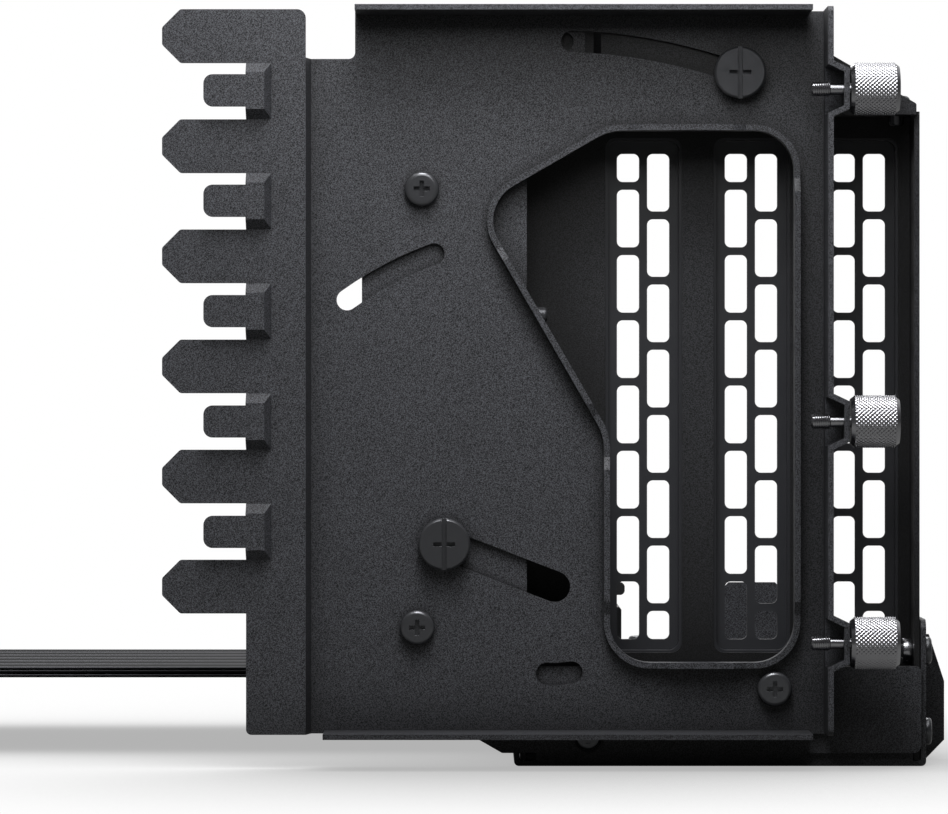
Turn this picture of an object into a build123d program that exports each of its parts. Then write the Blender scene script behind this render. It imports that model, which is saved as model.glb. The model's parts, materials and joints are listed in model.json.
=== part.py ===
from build123d import *
import os
from math import atan2, cos, degrees, hypot, radians, sin, sqrt, tan

# A steel bracket that holds a graphics card upright in a computer case, with a riser socket on a tray.
# Lengths are millimetres. X runs across the bracket, Y away from the viewer and Z up.
# The pieces are drawn from the front face of the finger strip (Y = 0), with Z = 0 at the underside of
# the tray, and are moved at the end so that the origin is the middle of the tray's underside.

# Sheets and clearances
sheet_t = 1.0
tilt_sheet_t = 1.2
cover_sheet_t = 0.8
rim_t = 1.1
bend_r = 0.9
slip = 0.2
thread_play = 0.05

# Expansion slots
slot_pitch = 20.32
slot_count = 3
cover_width = 18.42
card_screw_offset = 6.4

# Front plate
plate_left = -30.2
plate_right = 65.8
plate_bottom = 5.8
plate_top = 140.4
step_depth = 3.9
step_run = 0.86
flange_height = 11.7
side_flange_inset = 0.25
side_flange_low_inset = 0.7
side_flange_r = 1.2
corner_relief_left = 62.0
corner_relief_depth = 0.35
bottom_flange_left = -27.7
notch_right = -22.04
notch_depth = 9.2
notch_r = 1.2

# Finger strip
strip_width = 11.0
strip_bottom = 6.2
strip_top_drop = 0.3
finger_reach = 15.5
finger_width = 9.9
finger_tip_flat = 3.2
finger_chamfer = 3.35
finger_count = 6
finger_r = 0.8
hook_lift = 2.24
hook_width = 5.93
hook_reach = 7.75
hook_tip_r = 1.7
pad_length = 4.66
pad_flat_length = 3.46
pad_base = 10.3
pad_top = 6.8

# Window in the front plate, as the outer outline of its rim
window_left = 24.03
window_right = 60.35
window_bottom = 18.34
window_top_gap = 4.8
window_slope_x = 24.71
window_point_x = -0.68
window_point_drop = 14.68
window_waist = 61.45
window_r = 8.5
window_extra_r = 2.0
rim_height = 2.0
rim_rise = 1.0
rim_ramp = 2.4
rim_end_gap = 1.5
rim_waist_gap = 4.0
rim_slope_span = (0.08, 0.8)

# Tilt slots, turned about one point
pivot = (14.94, 33.42)
upper_slot_drop = 5.88
upper_slot_angles = (1.8, 19.8)
upper_slot_width = 4.0
middle_slot_r = 65.6
middle_slot_angles = (-35.9, -19.9)
middle_slot_width = 3.9
guide_slot_start = (-5.5, 41.33)
guide_slot_width = 5.75
lower_slot_r = 16.2
lower_slot_angles = (168.8, 185.1)
lower_slot_width = 4.1

# Bosses for the thumbscrews
boss_lift = 2.95
boss_base = 10.2
boss_top = 7.4
boss_flat = 5.2
boss_slope = 3.2
boss_slots = (4.5, 1.5, -0.5)
thumb_axis_depth = 2.2

# Thumbscrews
knob_d = 9.7
knob_length = 8.94
knob_chamfer = 0.7
thumb_thread_d = 2.8
thumb_thread_length = 3.5
thumb_neck_d = 2.1
thumb_bore_d = 2.5
thread_chamfer = 0.3
thumb_neck_length = 3.65

# Screws
tilt_head_d = 9.6
tilt_head_h = 3.2
tilt_thread_d = 3.8
tilt_thread_end = 0.8
guide_shoulder_d = 5.5
coin_slot_width = 0.9
coin_slot_depth = 1.3
coin_bar_length = 4.03
tilt_chamfer = 0.4
lock_head_d = 6.45
lock_head_h = 1.9
lock_thread_d = 2.9
lock_thread_end = 0.6
small_head_d = 5.2
small_head_h = 1.4
small_thread_d = 2.9
tab_screw_end = 4.0
cover_head_h = 2.0
cover_screw_end = 1.8
lip_head_d = 4.5
lip_head_h = 1.1
lip_screw_end = 1.2
cross_reach = 0.46
cross_width = 0.8
clinch_h = 2.0
side_nut_h = 1.8
side_nut_wall = 1.0
tilt_nut_flats = 7.0
tilt_nut_h = 3.2
lock_places = ((-9.67, 107.1), (-10.5, 25.9), (55.66, 14.5))

# Tilt plate
tilt_left = -20.8
tilt_bottom = 2.5
tilt_top_drop = 3.4
tilt_ledge_gap = 0.3
tilt_stub_right = 20.6
tilt_bar_right = 83.0
tilt_opening_bottom = 18.6
tilt_cut = (26.0, 14.9)
tilt_wall_cover = 0.16
tab_height = 11.0
tab_places = (83.9, 55.5)
tab_reach = 8.4
tab_window = 8.0
spare_hole_d = 3.3
spare_hole_shift = 1.25

# Slot frame
frame_left = 8.64
frame_right = 82.8
frame_floor = 1.1
frame_face_depth = 15.4
ledge_gap = 2.5
joggle_left = 22.2
joggle_run = 1.4
frame_shoulder_x = 57.8
frame_shoulder_end_x = 82.1
frame_shoulder_low = 1.0
opening_width = 14.4
opening_bottom = 20.6
opening_drop = 4.8
opening_r = 2.0
frame_lip_height = 8.0
ledge_lap = 6.0
ledge_end_gap = 0.4

# Slot covers
first_cover_x = 31.85
tongue_width = 10.2
tongue_shoulder = 12.0
tongue_slope = 4.0
tongue_tip = 2.6
dish_side_gap = 0.5
dish_end_gap = 0.4
dish_depth = 2.0
dish_r = 2.0
hole_width = 4.18
hole_length = 10.85
hole_bridge = 1.45
hole_short = 5.3
hole_offset = 2.84
hole_top_gap = 2.42
hole_r = 1.1
cover_tab_front = 7.6

# Tray
tray_t = 1.0
tray_length = 150.0
tray_wall_height = 10.0
tray_ear_height = 27.2
tray_ear_length = 20.0
tray_ear_blend_r = 3.0
tray_lip_height = 10.5
tray_lip_left = 11.5
tray_lip_r = 1.5
tray_corner_r = 2.0
side_screw_heights = (21.2, 6.2)
side_screw_depth = 11.0
lip_screw_places = (21.15,)
lip_screw_z = 5.3
outrigger_depth = 25.0
outrigger_reach = 5.2
outrigger_foot = 1.8
outrigger_heights = (0.1, 3.6, 14.7, 23.6)
outrigger_taper = 2.9
rear_tab_left = 50.0
rear_tab_width = 20.0
rear_tab_top = 28.85
rear_tab_depth = 150.0
rear_tab_chamfer = 5.0

# Riser board and socket
board_top = 16.0
board_t = 1.6
board_left = 12.5
board_right = 40.0
board_front = 34.0
board_back = 152.0
standoff_flats = 5.0
standoff_inset = 4.5
board_screw_d = 2.4
board_head_d = 4.4
board_head_h = 1.4
board_screw_end = 5.0
socket_x = 25.3
socket_width = 7.5
socket_front = 60.0
socket_length = 89.0
socket_height = 11.3
card_slot_width = 1.9
card_slot_depth = 9.0
key_distance = 11.65
key_width = 1.6
contact_pitch = 2.0
contact_width = 0.9
contact_t = 0.4
latch_cheek = 1.4
latch_bay = 5.0
latch_pin_d = 1.6
latch_pin_z = 19.6
latch_bar_width = 14.2
latch_bar_height = 2.7
latch_bar_r = 1.0
latch_t = 2.4
latch_top = 29.0
latch_swing_gap = 0.7

# Ribbon and its far end
ribbon_front = 45.0
ribbon_width = 67.5
ribbon_strips = 6
ribbon_groove = 0.12
ribbon_groove_width = 0.35
ribbon_layers = (("top", 15.73, 16.28), ("middle", 15.13, 15.68), ("bottom", 14.25, 14.85))
ribbon_left = -105.0
clamp_wall = 1.4
clamp_left = 9.0
clamp_right = 17.0
plug_length = 14.0
plug_wall = 1.5
plug_board_t = 1.6
plug_tongue = 9.0
plug_bury = 5.0

# Places that follow from the sizes above
plate_front = step_depth
plate_back = step_depth + sheet_t
plate_edge = plate_front - flange_height
notch_floor = plate_top - notch_depth
strip_top = plate_top - strip_top_drop
first_finger_z = strip_top - finger_width / 2 - slot_pitch * (finger_count - 1)
boss_places = [first_finger_z + slot_pitch * step for step in boss_slots]
tilt_back = plate_back + tilt_sheet_t
strip_right = plate_left - step_run
strip_left = strip_right - strip_width
frame_back = frame_face_depth + sheet_t
opening_left = frame_left + sheet_t + tilt_wall_cover
tray_front = tilt_back
tray_back = tray_front + tray_length
tray_left = frame_left - slip - tray_t
tray_right = frame_right + slip + tray_t
boss_face = plate_right + boss_lift
thumb_axis_y = plate_edge + thumb_axis_depth
board_bottom = board_top - board_t
cover_xs = [first_cover_x + slot_pitch * i for i in range(slot_count)]
upper_slot_r = plate_top - upper_slot_drop - pivot[1]
upper_slot_ends = [
    (pivot[0] + upper_slot_r * sin(radians(turn)), pivot[1] + upper_slot_r * cos(radians(turn)))
    for turn in upper_slot_angles
]
upper_screw = upper_slot_ends[1]
window_top = upper_screw[1] - tilt_head_d / 2 - window_top_gap
window_point = (window_point_x, window_top - window_point_drop)
tilt_top = plate_top - tilt_top_drop
ledge_z = upper_screw[1] - tilt_nut_flats / sqrt(3) - ledge_gap
frame_flange_left = joggle_left + joggle_run
opening_top = ledge_z - opening_drop
dish_width = opening_width - 2 * dish_side_gap
dish_bottom = opening_bottom + dish_end_gap
dish_top = opening_top - dish_end_gap
hole_top = dish_top - hole_top_gap
hole_rows = int((hole_top - dish_bottom - hole_short) / (hole_length + hole_bridge))


# Sketch and solid helpers
def outline(corners):
    """A face from (x, y, radius) corners in order; a corner with no radius stays sharp."""
    face = make_face(Polyline(*[(x, y) for x, y, _ in corners], close=True))
    for radius in sorted({r for _, _, r in corners if r > 0}):
        picked = [face.vertices().sort_by_distance((x, y, 0))[0] for x, y, r in corners if r == radius]
        face = fillet(picked, radius)
    return face


def facing(sketch, y_from, y_to):
    """The sketch, drawn in X and Z, as a solid between two depths."""
    return extrude(Plane.XZ.offset(-y_from) * sketch, amount=y_from - y_to)


def sideways(sketch, x_from, x_to):
    """The sketch, drawn in Y and Z, as a solid between two places along X."""
    return extrude(Plane.YZ.offset(x_from) * sketch, amount=x_to - x_from)


def upright(sketch, z_from, z_to):
    """The sketch, drawn in X and Y, as a solid between two heights."""
    return extrude(Plane.XY.offset(z_from) * sketch, amount=z_to - z_from)


def block(x, y, z):
    """A block between two places along each axis."""
    return upright(area(x, y), *z)


def area(x, y):
    """A rectangle between two places along each axis of its plane."""
    return Pos((x[0] + x[1]) / 2, (y[0] + y[1]) / 2) * Rectangle(abs(x[1] - x[0]), abs(y[1] - y[0]))


def rounded_area(x, y, radius):
    return Pos((x[0] + x[1]) / 2, (y[0] + y[1]) / 2) * RectangleRounded(x[1] - x[0], y[1] - y[0], radius)


def outer_corner(radius):
    """What a bend of that radius takes off a square corner at the sketch's origin."""
    square = area((-radius, 0.1), (-radius, 0.1))
    return square - disc((-radius, -radius), 2 * radius) - area((-2 * radius, -radius), (-2 * radius, 0.2))


def disc(place, diameter):
    return Pos(*place) * Circle(diameter / 2)


def turned_slot(radius, angles, width):
    """A slot along an arc about the pivot; angles are degrees to the right of straight up."""
    start, end = angles
    arc = CenterArc((*pivot, 0), radius, 90 - end, end - start)
    return SlotArc(arc, width)


def guide_slot():
    """The straight slot from the lower tilt screw to the pivot."""
    across, up = pivot[0] - guide_slot_start[0], pivot[1] - guide_slot_start[1]
    middle = Pos((pivot[0] + guide_slot_start[0]) / 2, (pivot[1] + guide_slot_start[1]) / 2)
    turn = Rot(0, 0, degrees(atan2(up, across)))
    return middle * turn * SlotCenterToCenter(hypot(across, up), guide_slot_width)


# Screws and nuts, made along +Z with the seat of the head at Z = 0 and the thread below it
def cross_recess(head_d, head_h):
    arm = 2 * cross_reach * head_d / 2
    top = Pos(0, 0, head_h)
    return top * Box(arm, cross_width, head_h) + top * Box(cross_width, arm, head_h)


def pan_screw(head_d, head_h, thread_d, length, bulge=0.45):
    head = Pos(0, 0, head_h / 2) * Cylinder(head_d / 2, head_h)
    head = fillet(head.edges().sort_by(Axis.Z)[-1], head_h * bulge)
    shank = Pos(0, 0, -length / 2) * Cylinder(thread_d / 2, length)
    shank = chamfer(shank.edges().sort_by(Axis.Z)[0], thread_d * 0.12)
    return head - cross_recess(head_d, head_h) + shank


def tilt_screw(shoulder_d, shoulder_length, length):
    head = Pos(0, 0, tilt_head_h / 2) * Cylinder(tilt_head_d / 2, tilt_head_h)
    head = chamfer(head.edges().sort_by(Axis.Z)[-1], tilt_chamfer)
    coin = Pos(0, 0, tilt_head_h) * Box(coin_slot_width, tilt_head_d + 1, 2 * coin_slot_depth)
    bar = Pos(0, 0, tilt_head_h) * Box(coin_bar_length, cross_width, 2 * coin_slot_depth)
    shoulder = Pos(0, 0, -shoulder_length / 2) * Cylinder(shoulder_d / 2, shoulder_length)
    shank = Pos(0, 0, -length / 2) * Cylinder(tilt_thread_d / 2, length)
    shank = chamfer(shank.edges().sort_by(Axis.Z)[0], tilt_chamfer)
    return head - coin - bar + shoulder + shank


def clinch_nut(outer_d, bore_d, height):
    ring = Cylinder(outer_d / 2, height) - Cylinder(bore_d / 2, height)
    return Pos(0, 0, -height / 2) * ring


def hex_nut(flats, bore_d, height):
    prism = extrude(RegularPolygon(flats / 2, 6, major_radius=False), amount=-height)
    return prism - Pos(0, 0, -height / 2) * Cylinder(bore_d / 2, height)


def to_front(piece, x, y, z):
    """Turns a piece that was made along +Z so that it points at the viewer, at a place."""
    return Pos(x, y, z) * Rot(90, 0, 0) * piece


def to_side(piece, x, y, z, right=True):
    return Pos(x, y, z) * Rot(0, 90 if right else -90, 0) * piece


# Front plate
def finger(z):
    half, flat, tip = finger_width / 2, finger_tip_flat / 2, strip_left - finger_reach
    back = tip + finger_chamfer
    corners = [
        (strip_left + 1, z - half, 0), (strip_left + 1, z + half, 0), (back, z + half, finger_r),
        (tip, z + flat, finger_r), (tip, z - flat, finger_r), (back, z - half, finger_r),
    ]
    return outline(corners)


def strip_sketch():
    inner = first_finger_z - finger_width / 2
    strip = outline([
        (strip_left, strip_bottom, 1.0), (strip_right, strip_bottom, 0.6), (strip_right, strip_top, 1.6),
        (strip_left + 1, strip_top, 0), (strip_left + 1, inner, 0), (strip_left, inner, 0),
    ])
    strip += area((strip_left, strip_right), (inner - 0.1, strip_top - finger_width))
    for i in range(finger_count):
        strip += finger(first_finger_z + slot_pitch * i)
    return strip


def hook_places():
    return [first_finger_z + slot_pitch * (i + 0.5) for i in range(finger_count - 1)]


def pressed_bump(base, top, lift, lengthwise, wall):
    """The outer form and the hollow of a bump with sloped ends, standing on Z = 0 and centred on X.

    lengthwise holds the (y, z) corners of its section along the bump."""
    lean = (base - top) / 2 / lift
    inset = wall * hypot(1, lean)
    reach = max(y for y, _ in lengthwise) - min(y for y, _ in lengthwise) + 4
    ends = make_face(Polyline((-base / 2, 0), (base / 2, 0), (top / 2, lift), (-top / 2, lift), close=True))
    low = base / 2 + lean * wall - inset
    high = top / 2 + lean * wall - inset
    inner = make_face(
        Polyline((-low, -wall), (low, -wall), (high, lift - wall), (-high, lift - wall), close=True)
    )
    along = make_face(Polyline(*lengthwise, close=True))
    outer = extrude(Plane.XZ * ends, amount=reach, both=True)
    outer &= extrude(Plane.YZ * along, amount=base, both=True)
    return outer, extrude(Plane.XZ * inner, amount=reach, both=True)


def hook_pad():
    """The pad under a hook: its form and its hollow, lift along +Z, open end at Y = 0."""
    run = [(0, 0), (pad_length, 0), (pad_flat_length, hook_lift), (0, hook_lift)]
    outer, hollow = pressed_bump(pad_base, pad_top, hook_lift, run, sheet_t)
    lean = (pad_length - pad_flat_length) / hook_lift
    end = pad_flat_length + lean * sheet_t - sheet_t * hypot(1, lean)
    deep = end + lean * hook_lift
    cut = make_face(Polyline(
        (-1, -sheet_t), (deep, -sheet_t), (end, hook_lift - sheet_t),
        (-1, hook_lift - sheet_t), close=True,
    ))
    return outer, hollow & extrude(Plane.YZ * cut, amount=pad_base, both=True)


def finger_strip():
    strip = facing(strip_sketch(), 0, sheet_t)
    outer, hollow = hook_pad()
    tongue = outline([
        (strip_left - hook_reach, -hook_width / 2, hook_tip_r), (strip_left + 1, -hook_width / 2, 0),
        (strip_left + 1, hook_width / 2, 0), (strip_left - hook_reach, hook_width / 2, hook_tip_r),
    ])
    turn = Plane(origin=(strip_left, 0, 0), x_dir=(0, 0, -1), z_dir=(0, -1, 0))
    for z in hook_places():
        strip += Pos(0, 0, z) * turn.location * outer
        strip -= Pos(0, 0, z) * turn.location * hollow
        strip += facing(Pos(0, z) * tongue, -hook_lift, sheet_t - hook_lift)
    return strip


def step():
    """The joggle from the strip back to the plate."""
    section = make_face(Polyline(
        (strip_right - 2 * sheet_t, 0), (strip_right, 0), (plate_left, plate_front),
        (plate_left + sheet_t, plate_front), (plate_left + sheet_t, plate_back),
        (plate_left - sheet_t, plate_back), (strip_right - sheet_t, sheet_t),
        (strip_right - 2 * sheet_t, sheet_t), close=True,
    ))
    return upright(section, strip_bottom, notch_floor)


def plate_sketch():
    relief_top = plate_top - corner_relief_depth
    relief_bottom = plate_bottom + corner_relief_depth
    return outline([
        (plate_left, strip_bottom, 0), (bottom_flange_left, strip_bottom, 0),
        (bottom_flange_left, plate_bottom, 0), (corner_relief_left, plate_bottom, 0),
        (corner_relief_left, relief_bottom, 0), (plate_right, relief_bottom, 0),
        (plate_right, relief_top, 0), (corner_relief_left, relief_top, 0),
        (corner_relief_left, plate_top, 0), (notch_right, plate_top, 0),
        (notch_right, notch_floor, notch_r), (plate_left, notch_floor, 0),
    ])


def window_sketch():
    """The outer outline of the window's rim."""
    return outline([
        (window_slope_x, window_top, window_r + window_extra_r), (window_right, window_top, window_r),
        (window_right, window_bottom, window_r), (window_left, window_bottom, window_r),
        (window_left, window_waist, window_r), (*window_point, window_r),
    ])


def rim_run(start, end):
    """A prism that keeps the rim's full height along one straight run, with a ramp at each end."""
    length = hypot(end[0] - start[0], end[1] - start[1])
    low = plate_front - rim_height
    along = Plane(
        origin=(start[0], low, start[1]),
        x_dir=(end[0] - start[0], 0, end[1] - start[1]),
        z_dir=((end[1] - start[1]) / length, 0, (start[0] - end[0]) / length),
    )
    rise = rim_rise if along.y_dir.Y < 0 else -rim_rise
    section = make_face(
        Polyline((0, 0), (length, 0), (length - rim_ramp, rise), (rim_ramp, rise), close=True)
    )
    return extrude(along * section, amount=2 * rim_t, both=True)


def window_rim():
    outer = window_sketch()
    ring = outer - offset(outer, -rim_t, kind=Kind.INTERSECTION)
    low = plate_front - rim_height
    rim = facing(ring, low, plate_back)
    tall = facing(ring, low - rim_rise, low)
    side = window_r + rim_end_gap
    low_share, high_share = rim_slope_span
    slope = ((window_point[0] - window_left), (window_point[1] - window_waist))
    runs = [
        ((window_right, window_bottom + side), (window_right, window_top - side)),
        ((window_left, window_bottom + side), (window_left, window_waist - rim_waist_gap)),
        (
            (window_left + slope[0] * low_share, window_waist + slope[1] * low_share),
            (window_left + slope[0] * high_share, window_waist + slope[1] * high_share),
        ),
        ((window_slope_x + rim_waist_gap, window_top), (window_right - side, window_top)),
        ((window_left + side, window_bottom), (window_right - side, window_bottom)),
    ]
    for start, end in runs:
        rim += tall & rim_run(start, end)
    return rim


def boss(z):
    """A thumbscrew boss on the side flange, as its form, its hollow and its bore."""
    run = [(0, 0), (boss_flat + boss_slope, 0), (boss_flat, boss_lift), (0, boss_lift)]
    outer, hollow = pressed_bump(boss_base, boss_top, boss_lift, run, sheet_t)
    lean = boss_slope / boss_lift
    end = boss_flat + lean * sheet_t - sheet_t * hypot(1, lean)
    cut = make_face(Polyline(
        (-1, -sheet_t), (end + lean * boss_lift, -sheet_t), (end, boss_lift - sheet_t),
        (-1, boss_lift - sheet_t), close=True,
    ))
    hollow &= extrude(Plane.YZ * cut, amount=boss_base, both=True)
    turn = Plane(origin=(plate_right, plate_edge, z), x_dir=(0, 0, -1), z_dir=(1, 0, 0)).location
    bore = to_side(Cylinder(thumb_bore_d / 2, 3 * sheet_t), boss_face, thumb_axis_y, z)
    return turn * outer, turn * hollow, bore


def front_plate():
    plate = facing(plate_sketch(), plate_front, plate_back)
    top = (plate_top - sheet_t, plate_top)
    bottom = (plate_bottom, plate_bottom + sheet_t)
    plate += block((notch_right + 0.2, corner_relief_left), (plate_edge, plate_back), top)
    plate += block((bottom_flange_left, corner_relief_left), (plate_edge, plate_back), bottom)
    side = outline([
        (plate_edge, plate_bottom + side_flange_low_inset, side_flange_r),
        (plate_back, plate_bottom + side_flange_low_inset, 0),
        (plate_back, plate_top - side_flange_inset, 0),
        (plate_edge, plate_top - side_flange_inset, side_flange_r),
    ])
    plate += sideways(side, plate_right - sheet_t, plate_right)
    corner = Pos(plate_back, plate_top) * outer_corner(bend_r)
    plate -= sideways(corner, notch_right - 1, corner_relief_left)
    corner = Pos(plate_back, plate_bottom) * Rot(0, 0, -90) * outer_corner(bend_r)
    plate -= sideways(corner, bottom_flange_left - 1, corner_relief_left)
    corner = Pos(plate_right, plate_back) * outer_corner(bend_r)
    plate -= upright(corner, plate_bottom, plate_top)
    plate -= facing(window_sketch(), plate_front - 1, plate_back + 1)
    plate += window_rim()
    slots = [
        turned_slot(upper_slot_r, upper_slot_angles, upper_slot_width),
        turned_slot(middle_slot_r, middle_slot_angles, middle_slot_width),
        turned_slot(lower_slot_r, lower_slot_angles, lower_slot_width),
        guide_slot(),
    ]
    for place in lock_places:
        slots.append(disc(place, lock_thread_d + 2 * slip))
    for slot in slots:
        plate -= facing(slot, plate_front - 0.5, plate_back + 0.5)
    for z in boss_places:
        outer, hollow, bore = boss(z)
        plate = plate + outer - hollow - bore
    return plate + step() + finger_strip()


# Tilt plate
def tilt_plate():
    low_corner = tilt_bottom + tilt_cut[1]
    under_ledge = ledge_z - tilt_ledge_gap
    sheet = outline([
        (tilt_left + tilt_cut[0], tilt_bottom, 0.8), (tilt_bar_right, tilt_bottom, 1.5),
        (tilt_bar_right, tilt_opening_bottom, 1.0), (opening_left, tilt_opening_bottom, 1.5),
        (opening_left, under_ledge, 1.5), (tilt_stub_right, under_ledge, 0.5),
        (tilt_stub_right, tilt_top, 0.8), (tilt_left, tilt_top, 2.0), (tilt_left, low_corner, 0.8),
    ])
    slot_x, slot_z = upper_slot_ends[0]
    sheet -= disc((slot_x - spare_hole_shift, slot_z), spare_hole_d)
    sheet -= disc(guide_slot_start, tilt_thread_d + 2 * slip)
    for place in lock_places:
        sheet -= disc(place, lock_thread_d + 2 * slip)
    for x in lip_screw_places:
        sheet -= disc((x, lip_screw_z), lip_head_d + 4 * slip)
    tab_x = frame_left - tilt_sheet_t
    for z in tab_places:
        sheet -= area((tab_x - tab_window, tab_x), (z - tab_height / 2, z + tab_height / 2))
    plate = facing(sheet, plate_back, tilt_back)
    for z in tab_places:
        tab = outline([
            (plate_back, z - tab_height / 2, 0), (tilt_back + tab_reach, z - tab_height / 2, 2.0),
            (tilt_back + tab_reach, z + tab_height / 2, 2.0), (plate_back, z + tab_height / 2, 0),
        ])
        tab -= disc((tilt_back + tab_reach / 2, z), small_thread_d + 2 * thread_play)
        plate += sideways(tab, tab_x, frame_left)
    return plate


# Slot frame
def frame_wall(x_from, top, screw_heights, tab_heights):
    """A side wall of the frame, with its screw holes."""
    wall_front = tilt_back + slip
    wall = area((wall_front, frame_back), (frame_floor, top))
    for z in screw_heights:
        wall -= disc((side_screw_depth, z), small_thread_d + 2 * thread_play)
    for z in tab_heights:
        wall -= disc((tilt_back + tab_reach / 2, z), small_thread_d + 2 * thread_play)
    return sideways(wall, x_from, x_from + sheet_t)


def frame_joggle(left):
    """The section of the upper flange where it steps back to pass behind the tilt plate."""
    behind = tilt_back + slip
    slope = atan2(behind - plate_back, joggle_run)
    lap = sheet_t * tan(slope / 2)
    return make_face(Polyline(
        (left, behind), (joggle_left, behind), (frame_flange_left, plate_back),
        (frame_flange_left + sheet_t, plate_back), (frame_flange_left + sheet_t, plate_back + sheet_t),
        (frame_flange_left + lap, plate_back + sheet_t), (joggle_left + lap, behind + sheet_t),
        (left, behind + sheet_t), close=True,
    ))


def slot_frame():
    face = area((frame_left, frame_right), (frame_floor, ledge_z))
    for x in cover_xs:
        sides = (x - opening_width / 2, x + opening_width / 2)
        face -= rounded_area(sides, (opening_bottom, opening_top), opening_r)
    frame = facing(face, frame_face_depth, frame_back)
    frame += frame_wall(frame_left, ledge_z - sheet_t, side_screw_heights, tab_places)
    frame += frame_wall(frame_right - sheet_t, ledge_z - ledge_end_gap, side_screw_heights, ())
    between = (frame_left + sheet_t + ledge_end_gap, frame_right - sheet_t - ledge_end_gap)
    ledge = area(between, (tilt_back + slip, frame_back))
    ledge += area((frame_flange_left, frame_shoulder_end_x), (plate_back, frame_face_depth - ledge_lap))
    ledge -= area((frame_right - sheet_t - ledge_end_gap, frame_right), (tilt_back + slip, frame_back))
    for x in cover_xs:
        ledge -= disc((x + card_screw_offset, card_screw_depth()), small_thread_d + 2 * thread_play)
    frame += upright(ledge, ledge_z - sheet_t, ledge_z)
    flange = outline([
        (frame_flange_left, ledge_z - sheet_t, 0), (frame_shoulder_end_x, ledge_z - sheet_t, 0),
        (frame_shoulder_end_x, ledge_z + frame_shoulder_low, 0.5), (frame_shoulder_x, tilt_top, 1.0),
        (frame_flange_left, tilt_top, 0),
    ])
    flange -= disc(upper_screw, tilt_thread_d + 2 * slip)
    frame += facing(flange, plate_back, plate_back + sheet_t)
    frame += upright(frame_joggle(between[0]), ledge_z - sheet_t, tilt_top)
    lip_front = tray_front + tray_t + slip
    inside = (frame_left + sheet_t + slip, frame_right - sheet_t - slip)
    frame += block(inside, (lip_front, frame_back), (frame_floor, frame_floor + sheet_t))
    lip = area((tray_lip_left, inside[1]), (frame_floor, frame_floor + frame_lip_height))
    for x in lip_screw_places:
        lip -= disc((x, lip_screw_z), small_thread_d + 2 * thread_play)
    return frame + facing(lip, lip_front, lip_front + sheet_t)


# Slot covers
def card_screw_depth():
    return (cover_tab_front + frame_face_depth) / 2


def cover_holes(x):
    """The staggered grille: a short hole ends the left column at the top and the right one below."""
    places = []
    for column, short_first in ((-1, True), (1, False)):
        full = [hole_length] * hole_rows
        lengths = [hole_short] + full if short_first else full + [hole_short]
        z = hole_top
        for length in lengths:
            centre = Pos(x + column * hole_offset, z - length / 2)
            places.append(centre * RectangleRounded(hole_width, length, hole_r))
            z -= length + hole_bridge
    return places


def slot_cover(x):
    half, tongue = cover_width / 2, tongue_width / 2
    body = outline([
        (x - tongue, tongue_tip, 1.0), (x + tongue, tongue_tip, 1.0), (x + tongue, tongue_shoulder, 0),
        (x + half, tongue_shoulder + tongue_slope, 0), (x + half, ledge_z, 0), (x - half, ledge_z, 0),
        (x - half, tongue_shoulder + tongue_slope, 0), (x - tongue, tongue_shoulder, 0),
    ])
    front, back = frame_back, frame_back + cover_sheet_t
    cover = facing(body, front, back)
    wide = dish_width / 2
    skin = cover_sheet_t
    sides = (x - wide - skin, x + wide + skin)
    outer = rounded_area(sides, (dish_bottom - skin, dish_top + skin), dish_r + skin)
    inner = rounded_area((x - wide, x + wide), (dish_bottom, dish_top), dish_r)
    cover += facing(outer, front, front + dish_depth + skin)
    cover -= facing(inner, front, front + dish_depth)
    for hole in cover_holes(x):
        cover -= facing(hole, front + dish_depth - 1, front + dish_depth + skin + 1)
    screw = (x + card_screw_offset, card_screw_depth())
    tab = area((x - half, x + half), (cover_tab_front, back))
    tab -= disc(screw, small_thread_d + 2 * slip)
    reach = small_thread_d / 2 + slip
    tab -= area((screw[0], x + half + 1), (screw[1] - reach, screw[1] + reach))
    return cover + upright(tab, ledge_z, ledge_z + skin)


# Tray
def tray_wall(x_from):
    low, high = tray_wall_height, tray_ear_height
    ear = tray_front + tray_ear_length
    wall = outline([
        (tray_front, 0, 0), (tray_back, 0, 0), (tray_back, low, tray_corner_r),
        (ear + high - low, low, tray_ear_blend_r), (ear, high, tray_corner_r),
        (tray_front, high, tray_corner_r),
    ])
    for z in side_screw_heights:
        wall -= disc((side_screw_depth, z), small_thread_d + 2 * slip)
    return sideways(wall, x_from, x_from + tray_t)


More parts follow.
